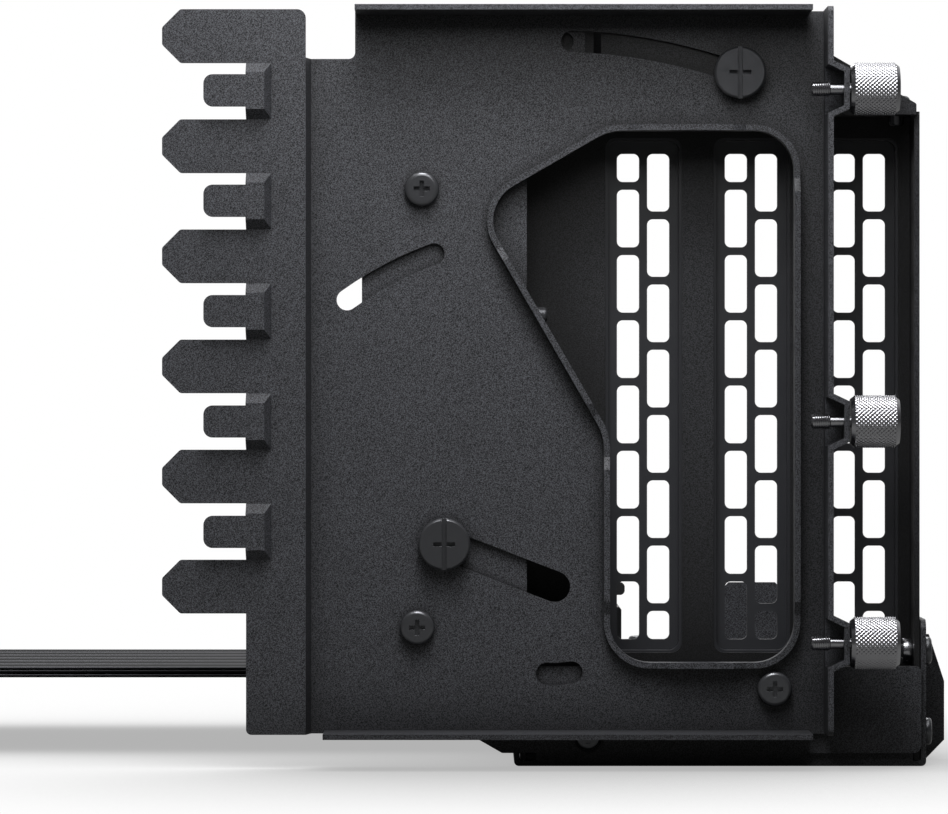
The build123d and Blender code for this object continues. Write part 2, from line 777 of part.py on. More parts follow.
def base_tray():
    floor = area((tray_left, tray_right), (tray_front, tray_back))
    for x, y in standoff_places():
        floor -= disc((x, y), board_screw_d)
    tray = upright(floor, 0, tray_t)
    tray += tray_wall(tray_left) + tray_wall(tray_right - tray_t)
    for x, turn in ((tray_left, 180), (tray_right, -90)):
        tray -= facing(Pos(x, 0) * Rot(0, 0, turn) * outer_corner(bend_r), tray_front - 1, tray_back + 1)
    lip = outline([
        (tray_lip_left, 0, 0), (frame_right - sheet_t - slip, 0, 0),
        (frame_right - sheet_t - slip, tray_lip_height, tray_lip_r),
        (tray_lip_left, tray_lip_height, tray_lip_r),
    ])
    for x in lip_screw_places:
        lip -= disc((x, lip_screw_z), small_thread_d + 2 * slip)
    tray += facing(lip, tray_front, tray_front + tray_t)
    reach = tray_right + outrigger_reach
    foot, low, high, top = outrigger_heights
    ear = outline([
        (tray_right - tray_t, foot, 0), (tray_right + outrigger_foot, foot, 0), (reach, low, 0),
        (reach, high, 0), (reach - outrigger_taper, top, 0), (tray_right - tray_t, top, 0),
    ])
    tray += facing(ear, outrigger_depth, outrigger_depth + tray_t)
    tab = outline([
        (rear_tab_left, 0, 0), (rear_tab_left + rear_tab_width, 0, 0),
        (rear_tab_left + rear_tab_width, rear_tab_top - rear_tab_chamfer, 0),
        (rear_tab_left + rear_tab_width - rear_tab_chamfer, rear_tab_top, 0),
        (rear_tab_left + rear_tab_chamfer, rear_tab_top, 0),
        (rear_tab_left, rear_tab_top - rear_tab_chamfer, 0),
    ])
    tray += facing(tab, rear_tab_depth, rear_tab_depth + tray_t)
    return tray


# Riser board, socket and latch
def standoff_places():
    xs = (board_left + standoff_inset, board_right - standoff_inset)
    ys = (board_front + standoff_inset, board_back - standoff_inset)
    return [(x, y) for x in xs for y in ys]


def riser_board():
    sheet = rounded_area((board_left, board_right), (board_front, board_back), 2.0)
    for place in standoff_places():
        sheet -= disc(place, board_screw_d + 2 * slip)
    return upright(sheet, board_bottom, board_top)


def board_standoffs():
    post = RegularPolygon(standoff_flats / 2, 6, major_radius=False) - Circle(board_screw_d / 2 + thread_play)
    return Compound([upright(Pos(*place) * post, tray_t, board_bottom) for place in standoff_places()])


def board_screws():
    screw = pan_screw(board_head_d, board_head_h, board_screw_d, board_t + board_screw_end)
    return Compound([Pos(x, y, board_top) * screw for x, y in standoff_places()])


def socket_back():
    return socket_front + socket_length


def riser_socket():
    """The moulded card socket, with an open bay at its far end for the latch."""
    half = socket_width / 2
    top = board_top + socket_height
    across = (socket_x - half, socket_x + half)
    body = block(across, (socket_front, socket_back()), (board_top, top))
    body = chamfer(body.edges().filter_by(Axis.Y).group_by(Axis.Z)[-1], 0.5)
    slot = area((socket_x - card_slot_width / 2, socket_x + card_slot_width / 2), card_slot_span())
    body -= upright(slot, top - card_slot_depth, top)
    cavity = card_slot_width / 2 + contact_t + thread_play
    for y in contact_places():
        body -= block((socket_x - cavity, socket_x + cavity), (y - contact_width / 2, y + contact_width / 2),
                      (top - card_slot_depth, top - 1.2))
    start = card_slot_span()[0] + key_distance
    key = block((socket_x - 1.5, socket_x + 1.5), (start, start + key_width), (board_top, top - 0.6))
    rear = (socket_back() - latch_bay, socket_back())
    bay = block((across[0] + latch_cheek, across[1] - latch_cheek), rear, (board_top + 1, top))
    bay += block(across, rear, (latch_top - latch_bar_height - latch_swing_gap, top))
    body = body + key - bay
    pin = to_side(Cylinder(latch_pin_d / 2 + slip / 2, socket_width), socket_x, latch_pin_y(), latch_pin_z)
    return body - pin


def card_slot_span():
    start = socket_front + 1.5
    return (start, socket_back() - latch_bay - 1.0)


def contact_places():
    """Places along the slot, with none across the key."""
    start, end = card_slot_span()
    key = start + key_distance + key_width / 2
    count = int((end - start - 2) / contact_pitch)
    places = [start + 1.5 + contact_pitch * i for i in range(count)]
    return [y for y in places if abs(y - key) > contact_pitch * 0.9]


def socket_contacts():
    top = board_top + socket_height - 1.6
    inner = card_slot_width / 2 + thread_play
    blades = []
    for y in contact_places():
        for sign in (-1, 1):
            x = sorted((socket_x + sign * inner, socket_x + sign * (inner + contact_t - thread_play)))
            y_span = (y - contact_width / 2 + thread_play, y + contact_width / 2 - thread_play)
            blades.append(block(x, y_span, (board_top + socket_height - card_slot_depth, top)))
    return Compound(blades)


def latch_pin_y():
    return socket_back() - latch_bay / 2


def socket_latch():
    """The moulded latch: a stem in the bay, two pins and a thumb bar above it."""
    bay_width = socket_width - 2 * latch_cheek - 2 * slip
    y = latch_pin_y()
    bar_bottom = latch_top - latch_bar_height
    stem = block((socket_x - bay_width / 2, socket_x + bay_width / 2), (y - latch_t / 2, y + latch_t / 2),
                 (latch_pin_z - latch_t / 2, latch_top))
    stem = fillet(stem.edges().filter_by(Axis.X).group_by(Axis.Z)[0], latch_t * 0.45)
    sides = (socket_x - latch_bar_width / 2, socket_x + latch_bar_width / 2)
    bar = rounded_area(sides, (bar_bottom, latch_top), latch_bar_r)
    stem += facing(bar, y - latch_t / 2, y + latch_t / 2)
    pin_length = bay_width + 2 * latch_cheek
    return stem + to_side(Cylinder(latch_pin_d / 2, pin_length), socket_x, y, latch_pin_z)


# Ribbon, its clamp and the plug at its far end
def ribbon_layer(z_from, z_to):
    """One flat layer: parallel strips that meet in shallow grooves."""
    strip = ribbon_width / ribbon_strips
    low, high = [], []
    for i in range(1, ribbon_strips):
        y, half = ribbon_front + strip * i, ribbon_groove_width / 2
        low += [(y - half, z_from), (y, z_from + ribbon_groove), (y + half, z_from)]
        high += [(y - half, z_to), (y, z_to - ribbon_groove), (y + half, z_to)]
    back = ribbon_front + ribbon_width
    points = [
        (ribbon_front, z_from), *low, (back, z_from), (back, z_to), *reversed(high), (ribbon_front, z_to),
    ]
    return sideways(make_face(Polyline(*points, close=True)), ribbon_left, board_left)


def ribbon_heights():
    return min(z for _, z, _ in ribbon_layers), max(z for _, _, z in ribbon_layers)


def ribbon_clamp():
    """A moulded cover that grips the end of the ribbon and the edge of the board."""
    low, high = ribbon_heights()
    y = (ribbon_front - clamp_wall - slip, ribbon_front + ribbon_width + clamp_wall + slip)
    body = block((clamp_left, clamp_right), y, (low - clamp_wall, high + clamp_wall))
    body = fillet(body.edges().filter_by(Axis.Y).group_by(Axis.Z)[-1], clamp_wall * 0.6)
    span = (ribbon_front - thread_play, ribbon_front + ribbon_width + thread_play)
    mouth = block((clamp_left, board_left), span, (low, high))
    return body - mouth - block((board_left, clamp_right), y, (low, high))


def plug_housing():
    """The moulded end of the ribbon, round the root of the plug board."""
    low, high = ribbon_heights()
    left = ribbon_left - plug_length + plug_bury
    right = ribbon_left + plug_bury
    y = (ribbon_front - plug_wall, ribbon_front + ribbon_width + plug_wall)
    body = block((left, right), y, (low - plug_wall, high + plug_wall))
    body = fillet(body.edges().filter_by(Axis.Y), plug_wall * 0.5)
    mouth = block((ribbon_left, right), (ribbon_front, ribbon_front + ribbon_width), (low, high))
    middle = (low + high) / 2
    board = block((left, ribbon_left), plug_board_span(),
                  (middle - plug_board_t / 2, middle + plug_board_t / 2))
    return body - mouth - board


def plug_board_span():
    inset = 2.0
    return (ribbon_front + inset, ribbon_front + ribbon_width - inset)


def plug_board():
    """A bare edge board with one notch, as a card edge has."""
    low, high = ribbon_heights()
    middle = (low + high) / 2
    y_from, y_to = plug_board_span()
    left = ribbon_left - plug_length + plug_bury - plug_tongue
    board = block((left, ribbon_left), (y_from, y_to), (middle - plug_board_t / 2, middle + plug_board_t / 2))
    notch = block((left, left + plug_tongue - 1), (y_from + key_distance, y_from + key_distance + 2),
                  (middle - plug_board_t, middle + plug_board_t))
    board = chamfer(board.edges().filter_by(Axis.Y).group_by(Axis.X)[0], 0.4)
    return board - notch


# Fasteners in their places
def thumbscrew(z):
    """One turned piece: knurled knob, neck through the boss and a threaded end."""
    start = plate_right + boss_lift + slip
    knob = Pos(0, 0, knob_length / 2) * Cylinder(knob_d / 2, knob_length)
    knob = chamfer(knob.edges().filter_by(GeomType.CIRCLE), knob_chamfer)
    neck = Pos(0, 0, -thumb_neck_length / 2) * Cylinder(thumb_neck_d / 2, thumb_neck_length)
    thread = Pos(0, 0, -thumb_neck_length - thumb_thread_length / 2)
    thread *= Cylinder(thumb_thread_d / 2, thumb_thread_length)
    thread = chamfer(thread.edges().sort_by(Axis.Z)[0], thread_chamfer)
    return to_side(knob + neck + thread, start, thumb_axis_y, z)


def lock_screws():
    length = sheet_t + tilt_sheet_t + clinch_h + lock_thread_end
    screw = pan_screw(lock_head_d, lock_head_h, lock_thread_d, length)
    return [to_front(screw, x, plate_front, z) for x, z in lock_places]


def lock_nuts():
    nut = clinch_nut(2 * lock_thread_d, lock_thread_d + 2 * thread_play, clinch_h)
    return Compound([to_front(nut, x, tilt_back, z) for x, z in lock_places])


def upper_tilt_screw():
    screw = tilt_screw(tilt_thread_d, sheet_t, 2 * sheet_t + tilt_nut_h + tilt_thread_end)
    return to_front(screw, upper_screw[0], plate_front, upper_screw[1])


def lower_tilt_screw():
    length = sheet_t + tilt_sheet_t + tilt_nut_h + tilt_thread_end
    screw = tilt_screw(guide_shoulder_d, sheet_t, length)
    return to_front(screw, guide_slot_start[0], plate_front, guide_slot_start[1])


def tilt_nut(place, y):
    nut = hex_nut(tilt_nut_flats, tilt_thread_d + 2 * thread_play, tilt_nut_h)
    return to_front(nut, place[0], y, place[1])


def tray_side_screws():
    screw = pan_screw(small_head_d, small_head_h, small_thread_d, tray_t + slip + sheet_t + clinch_h)
    places = [(z, side) for z in side_screw_heights for side in (True, False)]
    return Compound([
        to_side(screw, tray_right if side else tray_left, side_screw_depth, z, side) for z, side in places
    ])


def side_nuts():
    bore = small_thread_d + 2 * thread_play
    nut = clinch_nut(small_thread_d + 2 * side_nut_wall, bore, side_nut_h)
    places = [(z, side) for z in side_screw_heights for side in (True, False)]
    inner = {True: frame_right - sheet_t, False: frame_left + sheet_t}
    return Compound([to_side(nut, inner[side], side_screw_depth, z, side) for z, side in places])


def frame_tab_screws():
    head_seat = frame_left - tilt_sheet_t
    screw = pan_screw(small_head_d, small_head_h, small_thread_d, tilt_sheet_t + sheet_t + tab_screw_end)
    depth = tilt_back + tab_reach / 2
    return Compound([to_side(screw, head_seat, depth, z, False) for z in tab_places])


def lip_screws():
    screw = pan_screw(lip_head_d, lip_head_h, small_thread_d, tray_t + slip + sheet_t + lip_screw_end)
    return Compound([to_front(screw, x, tray_front, lip_screw_z) for x in lip_screw_places])


def cover_screws():
    length = cover_sheet_t + sheet_t + cover_screw_end
    screw = pan_screw(small_head_d, cover_head_h, small_thread_d, length)
    z = ledge_z + cover_sheet_t
    return Compound([Pos(x + card_screw_offset, card_screw_depth(), z) * screw for x in cover_xs])


def pieces():
    """Every node with its solid."""
    made = {
        "front_plate": front_plate(),
        "tilt_plate": tilt_plate(),
        "slot_frame": slot_frame(),
        "base_tray": base_tray(),
        "upper_tilt_screw": upper_tilt_screw(),
        "lower_tilt_screw": lower_tilt_screw(),
        "upper_tilt_nut": tilt_nut(upper_screw, plate_back + sheet_t),
        "lower_tilt_nut": tilt_nut(guide_slot_start, tilt_back),
        "lock_nuts": lock_nuts(),
        "cover_screws": cover_screws(),
        "frame_tab_screws": frame_tab_screws(),
        "tray_side_screws": tray_side_screws(),
        "tray_side_nuts": side_nuts(),
        "tray_lip_screws": lip_screws(),
        "riser_board": riser_board(),
        "board_standoffs": board_standoffs(),
        "board_screws": board_screws(),
        "riser_socket": riser_socket(),
        "socket_contacts": socket_contacts(),
        "socket_latch": socket_latch(),
        "ribbon_clamp": ribbon_clamp(),
        "plug_housing": plug_housing(),
        "plug_board": plug_board(),
    }
    for name, screw in zip(("upper_lock_screw", "lower_lock_screw", "corner_lock_screw"), lock_screws()):
        made[name] = screw
    for name, z in zip(("thumbscrew_top", "thumbscrew_middle", "thumbscrew_bottom"), boss_places):
        made[name] = thumbscrew(z)
    for i, x in enumerate(cover_xs, start=1):
        made[f"slot_cover_{i}"] = slot_cover(x)
    for name, low, high in ribbon_layers:
        made[f"ribbon_layer_{name}"] = ribbon_layer(low, high)
    return made


to_origin = Pos(-(tray_left + tray_right) / 2, -(tray_front + tray_back) / 2, 0)
os.makedirs("parts", exist_ok=True)
for node, solid in pieces().items():
    export_step(to_origin * solid, f"parts/{node}.step")
    print(node, round(solid.volume, 1))
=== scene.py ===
# %% [markdown]
# A vertical bracket for a graphics card
#
# The real bracket is folded steel sheet with a fine black powder coat, and it carries bright nickel
# thumbscrews, black screws, moulded plastic and a flat ribbon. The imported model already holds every
# piece at its true size, so this lesson is about finish: how each surface was made, and what that
# gives the eye.

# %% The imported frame
import json
import math

import bmesh
import bpy
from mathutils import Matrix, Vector


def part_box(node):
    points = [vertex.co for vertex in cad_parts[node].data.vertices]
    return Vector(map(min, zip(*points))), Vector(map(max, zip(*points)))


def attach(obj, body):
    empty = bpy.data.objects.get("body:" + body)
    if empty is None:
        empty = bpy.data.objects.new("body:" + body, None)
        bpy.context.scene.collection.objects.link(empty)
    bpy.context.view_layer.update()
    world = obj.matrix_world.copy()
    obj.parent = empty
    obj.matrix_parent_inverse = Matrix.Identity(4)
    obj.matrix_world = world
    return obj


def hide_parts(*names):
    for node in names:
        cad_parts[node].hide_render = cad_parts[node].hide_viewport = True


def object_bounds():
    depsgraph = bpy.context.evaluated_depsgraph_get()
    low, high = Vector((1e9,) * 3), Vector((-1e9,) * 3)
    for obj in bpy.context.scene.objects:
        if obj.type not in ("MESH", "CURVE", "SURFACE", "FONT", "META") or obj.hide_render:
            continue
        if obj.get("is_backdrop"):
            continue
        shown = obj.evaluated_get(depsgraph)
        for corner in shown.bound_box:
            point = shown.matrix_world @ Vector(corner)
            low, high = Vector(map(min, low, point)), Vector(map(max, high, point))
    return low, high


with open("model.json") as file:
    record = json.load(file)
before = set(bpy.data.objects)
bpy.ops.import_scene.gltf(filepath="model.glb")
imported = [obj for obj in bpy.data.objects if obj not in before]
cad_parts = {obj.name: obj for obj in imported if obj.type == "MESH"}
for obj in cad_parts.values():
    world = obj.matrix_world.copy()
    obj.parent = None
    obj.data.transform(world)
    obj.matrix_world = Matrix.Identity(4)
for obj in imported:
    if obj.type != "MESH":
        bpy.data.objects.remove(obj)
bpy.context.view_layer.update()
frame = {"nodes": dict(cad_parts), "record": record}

MM = 0.001

# %% [markdown]
# Colours are written as sRGB hex, the way a picture editor shows them. A shader works in linear
# light, so one function turns the one into the other.

# %% Colours and shader nodes
def linear(code):
    """The linear colour of an sRGB hex code, with full alpha."""
    parts = [int(code[i:i + 2], 16) / 255 for i in (1, 3, 5)]
    return [c / 12.92 if c <= 0.04045 else ((c + 0.055) / 1.055) ** 2.4 for c in parts] + [1.0]


def add(tree, kind, settings=None, inputs=None):
    """Adds a shader node, with its settings, and sets or links its inputs."""
    node = tree.nodes.new(kind)
    for name, value in (settings or {}).items():
        setattr(node, name, value)
    for name, value in (inputs or {}).items():
        if isinstance(value, bpy.types.NodeSocket):
            tree.links.new(value, node.inputs[name])
        else:
            node.inputs[name].default_value = value
    return node


def new_material(name):
    """An empty material with its node tree."""
    material = bpy.data.materials.new(name)
    material.use_nodes = True
    material.node_tree.nodes.clear()
    return material, material.node_tree


def finish_surface(tree, inputs):
    """Ends a material in one surface shader with those inputs."""
    surface = add(tree, "ShaderNodeBsdfPrincipled", None, inputs)
    add(tree, "ShaderNodeOutputMaterial", None, {"Surface": surface.outputs[0]})


print("white", [round(c, 2) for c in linear("#FFFFFF")])

# %% [markdown]
# The photograph was taken straight from the front with a long lens, so the camera stands far back
# at half the bracket's height and looks level. Nothing in it is tilted or shifted.

# %% Camera
camera_distance = 880 * MM
strip_face = -81.1 * MM
camera_x = -45.72 * MM
camera_height = 66.7 * MM
picture_width = 948
pixels_per_mm = 5.4203
view_width = picture_width / pixels_per_mm * MM
sensor_width = 36.0

camera_data = bpy.data.cameras.new("camera")
camera_data.sensor_width = sensor_width
camera_data.sensor_fit = "HORIZONTAL"
camera_data.lens = sensor_width * camera_distance / view_width
camera = bpy.data.objects.new("camera", camera_data)
camera.location = (camera_x, strip_face - camera_distance, camera_height)
camera.rotation_euler = (math.radians(90), 0, 0)
bpy.context.scene.collection.objects.link(camera)
bpy.context.scene.camera = camera
bpy.context.scene.view_settings.view_transform = "Standard"
print("lens", round(camera_data.lens, 1), "mm")

# %% [markdown]
# Black sheet metal is lit so that its folds show. Two soft boxes stand close above the front, one
# steep and one lower: upper faces are brighter than lower ones, a recess falls into its own shade,
# and black screws catch a white arc. A wide panel overhead draws the upper edges and the white band
# on the nickel, and one behind lights the back. The room behind and above is pale and the room in
# front is dark, which gives nickel its dark underside. Only rays that look at the surroundings
# straight on find them fully white.

# %% Light
room_front = 0.04
room_back = 0.6
mirror_share = 0.05
turns_pale_behind = (-0.1, 0.5)
turns_pale_above = (0.6, 0.95)


def white_share(tree):
    """How white a ray finds the surroundings: fully straight on or through glass, partly mirrored."""
    path = add(tree, "ShaderNodeLightPath")
    mirrored = add(tree, "ShaderNodeMath", {"operation": "MULTIPLY"},
                   {0: path.outputs["Is Glossy Ray"], 1: mirror_share})
    straight = add(tree, "ShaderNodeMath", {"operation": "MAXIMUM"},
                   {0: path.outputs["Is Camera Ray"], 1: path.outputs["Is Transmission Ray"]})
    either = add(tree, "ShaderNodeMath", {"operation": "MAXIMUM"},
                 {0: straight.outputs[0], 1: mirrored.outputs[0]})
    return either.outputs[0]


def soft_panel(name, place, target, size, watts):
    """A square lamp that faces a target, both in metres. The camera doesn't see it."""
    lamp = bpy.data.lights.new(name, "AREA")
    lamp.size = size
    lamp.energy = watts
    panel = bpy.data.objects.new(name, lamp)
    panel.location = place
    panel.rotation_euler = (Vector(target) - Vector(place)).to_track_quat("-Z", "Y").to_euler()
    panel.visible_camera = False
    bpy.context.scene.collection.objects.link(panel)


def studio_room():
    """A room that turns from dark in front to pale behind and above."""
    world = bpy.data.worlds.new("studio")
    world.use_nodes = True
    world.node_tree.nodes.clear()
    tree = world.node_tree
    way = add(tree, "ShaderNodeTexCoord").outputs["Generated"]
    parts = add(tree, "ShaderNodeSeparateXYZ", None, {"Vector": way})
    behind, above = (
        add(tree, "ShaderNodeMapRange", None,
            {"Value": parts.outputs[axis], "From Min": dark_up_to, "From Max": pale_from})
        for axis, (dark_up_to, pale_from) in (("Y", turns_pale_behind), ("Z", turns_pale_above))
    )
    pale = add(tree, "ShaderNodeMath", {"operation": "MAXIMUM"},
               {0: behind.outputs["Result"], 1: above.outputs["Result"]})
    strength = add(tree, "ShaderNodeMapRange", None,
                   {"Value": pale.outputs[0], "To Min": room_front, "To Max": room_back})
    room = add(tree, "ShaderNodeBackground", None,
               {"Color": linear("#FFFFFF"), "Strength": strength.outputs["Result"]})
    white = add(tree, "ShaderNodeBackground", None, {"Color": linear("#FFFFFF"), "Strength": 1.0})
    both = add(tree, "ShaderNodeMixShader", None,
               {0: white_share(tree), 1: room.outputs[0], 2: white.outputs[0]})
    add(tree, "ShaderNodeOutputWorld", None, {"Surface": both.outputs[0]})
    return world


bpy.context.scene.world = studio_room()
soft_panel("high_soft_box", (-0.045, -0.209, 0.359), (-0.045, -0.08, 0.08), 0.10, 0.78)
soft_panel("front_soft_box", (-0.03, -0.245, 0.225), (-0.045, -0.08, 0.11), 0.12, 0.255)
soft_panel("overhead_panel", (-0.05, -0.17, 0.42), (-0.05, -0.10, 0.10), 0.36, 1.0)
soft_panel("back_soft_box", (-0.03, 0.29, 0.41), (-0.03, 0.0, 0.07), 0.25, 1.4)

# %% [markdown]
# The ground is a plain pale sheet, white where nothing stands near it. For rays that look at it, its
# white fades by how much of the sky above each spot the part covers, down to a light grey in the
# contact shadow, so the part stands on it softly. For other rays it is an ordinary grey card.

# %% Floor
floor_half = 4.0
shadow_reach = 120 * MM
shadow_grey = 0.45
shadow_softness = 2.6


def pale_ground():
    """A card that looks white with a soft contact shadow."""
    material, tree = new_material("pale_card")
    plain = add(tree, "ShaderNodeBsdfDiffuse", None, {"Color": linear("#747472")})
    open_sky = add(tree, "ShaderNodeAmbientOcclusion", {"samples": 24}, {"Distance": shadow_reach})
    faded = add(tree, "ShaderNodeMath", {"operation": "POWER"},
                {0: open_sky.outputs["AO"], 1: shadow_softness})
    white = add(tree, "ShaderNodeMapRange", None, {"Value": faded.outputs[0], "To Min": shadow_grey})
    glow = add(tree, "ShaderNodeEmission", None,
               {"Color": linear("#FFFFFF"), "Strength": white.outputs["Result"]})
    mixed = add(tree, "ShaderNodeMixShader", None,
                {0: white_share(tree), 1: plain.outputs[0], 2: glow.outputs[0]})
    add(tree, "ShaderNodeOutputMaterial", None, {"Surface": mixed.outputs[0]})
    return material


floor_mesh = bpy.data.meshes.new("floor")
corners = [(-floor_half, -floor_half, 0), (floor_half, -floor_half, 0),
           (floor_half, floor_half, 0), (-floor_half, floor_half, 0)]
floor_mesh.from_pydata(corners, [], [(0, 1, 2, 3)])
floor_mesh.materials.append(pale_ground())
floor = bpy.data.objects.new("floor", floor_mesh)
bpy.context.scene.collection.objects.link(floor)
floor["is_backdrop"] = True
print("floor", 2 * floor_half, "m wide")

# %% [markdown]
# Powder coat is dry paint, sprayed as dust and melted in an oven. A fine-textured black coat is
# covered in tiny humps about a fifth of a millimetre apart. Each hump turns the light a little, so
# the surface sparkles softly instead of mirroring. The grain drives the colour, the roughness and
# the bump together. In a recess the colour is darkened by the measure of open sky around each spot,
# which is painted shade. The slot frame lies deepest, so its painted shade is measured over a longer
# reach, and its coat is a darker copy, which is painted shade as well. The covers have no grain:
# they wear a thin satin paint.

# %% Powder-coated and painted steel
coat_grain = 0.2
coat_hump = 0.03
coat_drift = 9
drift_span = (0.92, 1.08)
fleck_span = (0.41, 0.59)
matt_swing = 0.12
grain_turn = (0.4, 0.7, 0.3)
# Painted shade in a recess: its reach in mm, the two shares of open sky between which the colour
# darkens, and the share of its colour that stays.
shallow_painted_shade = (24, 0.45, 0.9, 0.34)
deep_painted_shade = (60, 0.62, 0.95, 0.15)


def powder_coated_steel(name, dark, light, roughness, recess):
    """Fine-textured black powder coat, with painted shade that darkens its colour in a recess."""
    reach, closed, open_air, shade_share = recess
    material, tree = new_material(name)
    unturned = add(tree, "ShaderNodeTexCoord").outputs["Object"]
    place = add(tree, "ShaderNodeMapping", None,
                {"Vector": unturned, "Rotation": grain_turn}).outputs[0]
    grain = add(tree, "ShaderNodeTexNoise", None,
                {"Vector": place, "Scale": 1 / (coat_grain * MM), "Detail": 2.0, "Roughness": 0.65})
    cloud = add(tree, "ShaderNodeTexNoise", None,
                {"Vector": place, "Scale": 1 / (coat_drift * MM), "Detail": 1.0})
    fleck = add(tree, "ShaderNodeMapRange", None,
                {"Value": grain.outputs["Fac"], "From Min": fleck_span[0], "From Max": fleck_span[1]})
    drift = add(tree, "ShaderNodeMapRange", None,
                {"Value": cloud.outputs["Fac"], "To Min": drift_span[0], "To Max": drift_span[1]})
    colour = add(tree, "ShaderNodeMix", {"data_type": "RGBA"},
                 {0: fleck.outputs["Result"], 6: linear(dark), 7: linear(light)})
    # Painted shade: the colour darkens where the part covers much of the sky around a spot.
    open_sky = add(tree, "ShaderNodeAmbientOcclusion", {"samples": 8}, {"Distance": reach * MM})
    recess_shade = add(tree, "ShaderNodeMapRange", None, {
        "Value": open_sky.outputs["AO"], "From Min": closed, "From Max": open_air,
        "To Min": shade_share,
    })
    depth = add(tree, "ShaderNodeMath", {"operation": "MULTIPLY"},
                {0: drift.outputs["Result"], 1: recess_shade.outputs["Result"]})
    toned = add(tree, "ShaderNodeVectorMath", {"operation": "SCALE"},
                {0: colour.outputs[2], "Scale": depth.outputs[0]})
    matt = add(tree, "ShaderNodeMapRange", None, {
        "Value": grain.outputs["Fac"],
        "To Min": roughness + matt_swing, "To Max": roughness - matt_swing,
    })
    humps = add(tree, "ShaderNodeBump", None,
                {"Height": grain.outputs["Fac"], "Strength": 0.55, "Distance": coat_hump * MM})
    finish_surface(tree, {
        "Base Color": toned.outputs[0], "Roughness": matt.outputs["Result"],
        "Specular IOR Level": 0.3, "Normal": humps.outputs["Normal"],
    })
    return material


powder = powder_coated_steel("black_powder_coat", "#08090B", "#4F5055", 0.52, shallow_painted_shade)
# The slot frame's coat: a darker copy of the same coat, which is painted shade for its deep place.
shaded_frame_powder = powder_coated_steel("shaded_frame_powder_coat", "#060708", "#44454A", 0.55, deep_painted_shade)
paint_flow = 2.2


def smooth_black_paint():
    """The thin satin paint of the slot covers: no grain, a faint flow of the wet film."""
    material, tree = new_material("satin_cover_paint")
    place = add(tree, "ShaderNodeTexCoord").outputs["Object"]
    flow = add(tree, "ShaderNodeTexNoise", None,
               {"Vector": place, "Scale": 1 / (paint_flow * MM), "Detail": 2.0})
    matt = add(tree, "ShaderNodeMapRange", None,
               {"Value": flow.outputs["Fac"], "To Min": 0.36, "To Max": 0.48})
    skin = add(tree, "ShaderNodeBump", None,
               {"Height": flow.outputs["Fac"], "Strength": 0.2, "Distance": 0.02 * MM})
    finish_surface(tree, {
        "Base Color": linear("#25262A"), "Roughness": matt.outputs["Result"], "IOR": 1.5,
        "Normal": skin.outputs["Normal"],
    })
    return material


cover_paint = smooth_black_paint()
print(powder.name, shaded_frame_powder.name, cover_paint.name)

# %% [markdown]
# The screws are steel with a black zinc finish: a thin dark skin over a turned head, still metal
# underneath. It is smoother than the coat, so a head shows one bright arc towards the light.
# The thumbscrews are bright nickel, whose reflections carry almost all of its look.

# %% Plated metals
stain_width = 1.5
smoother, rougher = 0.06, 0.08


def plated_metal(name, colour, roughness, metallic, mark_width, mark_depth):
    """A plated, turned metal: its roughness wanders a little and fine tool marks ripple the light."""
    material, tree = new_material(name)
    place = add(tree, "ShaderNodeTexCoord").outputs["Object"]
    wander = add(tree, "ShaderNodeTexNoise", None,
                 {"Vector": place, "Scale": 1 / (stain_width * MM), "Detail": 3.0})
    marks = add(tree, "ShaderNodeTexNoise", None,
                {"Vector": place, "Scale": 1 / (mark_width * MM), "Detail": 1.0})
    rough = add(tree, "ShaderNodeMapRange", None, {
        "Value": wander.outputs["Fac"], "To Min": roughness - smoother, "To Max": roughness + rougher,
    })
    ripple = add(tree, "ShaderNodeBump", None,
                 {"Height": marks.outputs["Fac"], "Strength": 0.25, "Distance": mark_depth * MM})
    finish_surface(tree, {
        "Base Color": linear(colour), "Metallic": metallic, "Roughness": rough.outputs["Result"],
        "Normal": ripple.outputs["Normal"],
    })
    return material


black_zinc = plated_metal("black_zinc", "#4C4D50", 0.22, 0.6, 0.3, 0.01)
nickel = plated_metal("bright_nickel", "#9A9A9E", 0.2, 1.0, 0.25, 0.008)
turned_brass = plated_metal("turned_brass", "#C8A860", 0.28, 1.0, 0.3, 0.008)
gold_flash = plated_metal("gold_flash", "#D9B65C", 0.2, 1.0, 0.3, 0.004)
print(black_zinc.name, nickel.name, turned_brass.name, gold_flash.name)

# %% [markdown]
# The socket, latch and plug are glass-filled nylon, moulded in spark-eroded steel tools, which leaves
# a very fine dull grain. The real grain is too fine to show, so it is drawn a quarter of a millimetre
# wide. The circuit boards wear a black lacquer over their weave. The ribbon is flat cable: many thin
# conductors side by side in a soft dark jacket, so it is ribbed along its run. It is made of six
# strips, and the seams between them carry a painted highlight, paler where they face upwards.

# %% Plastics, boards and ribbon
nylon_grain = 0.25
weave_band = 0.45
# A wave texture turns by 20 radians per unit, and one light or dark band of it is half a turn.
wave_radians = 20
half_turn = 3.14
conductor_pitch = 1.27
ribbon_front = -36.1
strip_width = 11.25
seam_span = (0.05, 0.2)


def moulded_nylon():
    """Black nylon with the dull grain of its mould."""
    material, tree = new_material("moulded_nylon")
    place = add(tree, "ShaderNodeTexCoord").outputs["Object"]
    grain = add(tree, "ShaderNodeTexNoise", None,
                {"Vector": place, "Scale": 1 / (nylon_grain * MM), "Detail": 2.0})
    rough = add(tree, "ShaderNodeMapRange", None,
                {"Value": grain.outputs["Fac"], "To Min": 0.38, "To Max": 0.55})
    humps = add(tree, "ShaderNodeBump", None,
                {"Height": grain.outputs["Fac"], "Strength": 0.3, "Distance": 0.02 * MM})
    finish_surface(tree, {
        "Base Color": linear("#1B1B1D"), "Roughness": rough.outputs["Result"], "IOR": 1.53,
        "Normal": humps.outputs["Normal"],
    })
    return material


